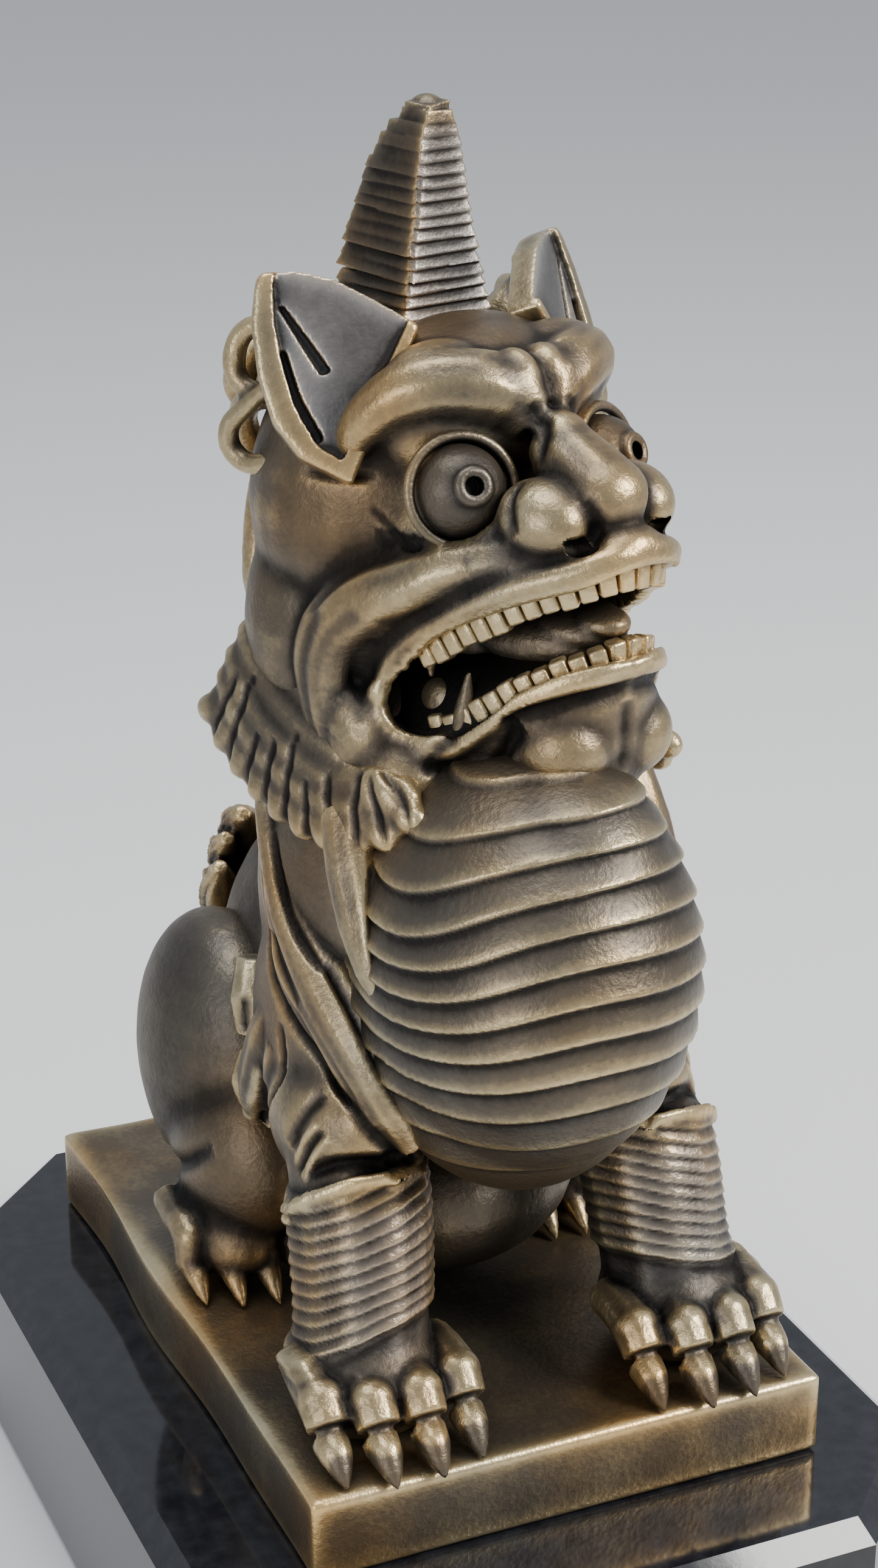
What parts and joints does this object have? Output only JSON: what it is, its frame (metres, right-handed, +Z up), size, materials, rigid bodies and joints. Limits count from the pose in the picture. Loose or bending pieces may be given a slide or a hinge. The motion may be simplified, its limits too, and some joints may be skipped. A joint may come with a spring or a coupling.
{
  "type": "foo dog statue",
  "caption": "Seated one-horned guardian beast in cast bronze with a banded breast, on a clipped-corner polished marble base; a table ornament.",
  "frame": {"origin": "centre of the felt's underside, which is the bottom centre of the whole object", "axes": "+Z up, the beast faces -Y, +X is its left side"},
  "size_m": [0.144, 0.194, 0.2836],
  "materials": {
    "bronze": "brown patina, gold where rubbed",
    "dark_bronze": "dark patina, silvery on the front face",
    "black_marble": "polished",
    "fixing_steel": "plain",
    "base_felt": "felt"
  },
  "bodies": {
    "root": {"horn": "dark_bronze", "ear_right": "bronze", "ear_left": "bronze", "eye_right": "bronze", "eye_left": "bronze", "upper_teeth": "bronze", "lower_teeth": "bronze", "lower_jaw": "bronze", "head": "bronze", "tongue": "bronze", "ribbed_breast": "bronze", "foreleg_right": "bronze", "foreleg_left": "bronze", "hind_leg_right": "bronze", "hind_leg_left": "bronze", "torso": "bronze", "ruff_right": "bronze", "ruff_left": "bronze", "crown_curls": "bronze", "tail": "bronze", "base_felt": "base_felt", "marble_base": "black_marble", "plinth": "bronze", "fixing_bolt_1": "fixing_steel", "fixing_bolt_2": "fixing_steel", "fixing_bolt_3": "fixing_steel", "fixing_bolt_4": "fixing_steel", "fixing_washer_1": "fixing_steel", "fixing_washer_2": "fixing_steel", "fixing_washer_3": "fixing_steel", "fixing_washer_4": "fixing_steel"}
  },
  "joints": []
}
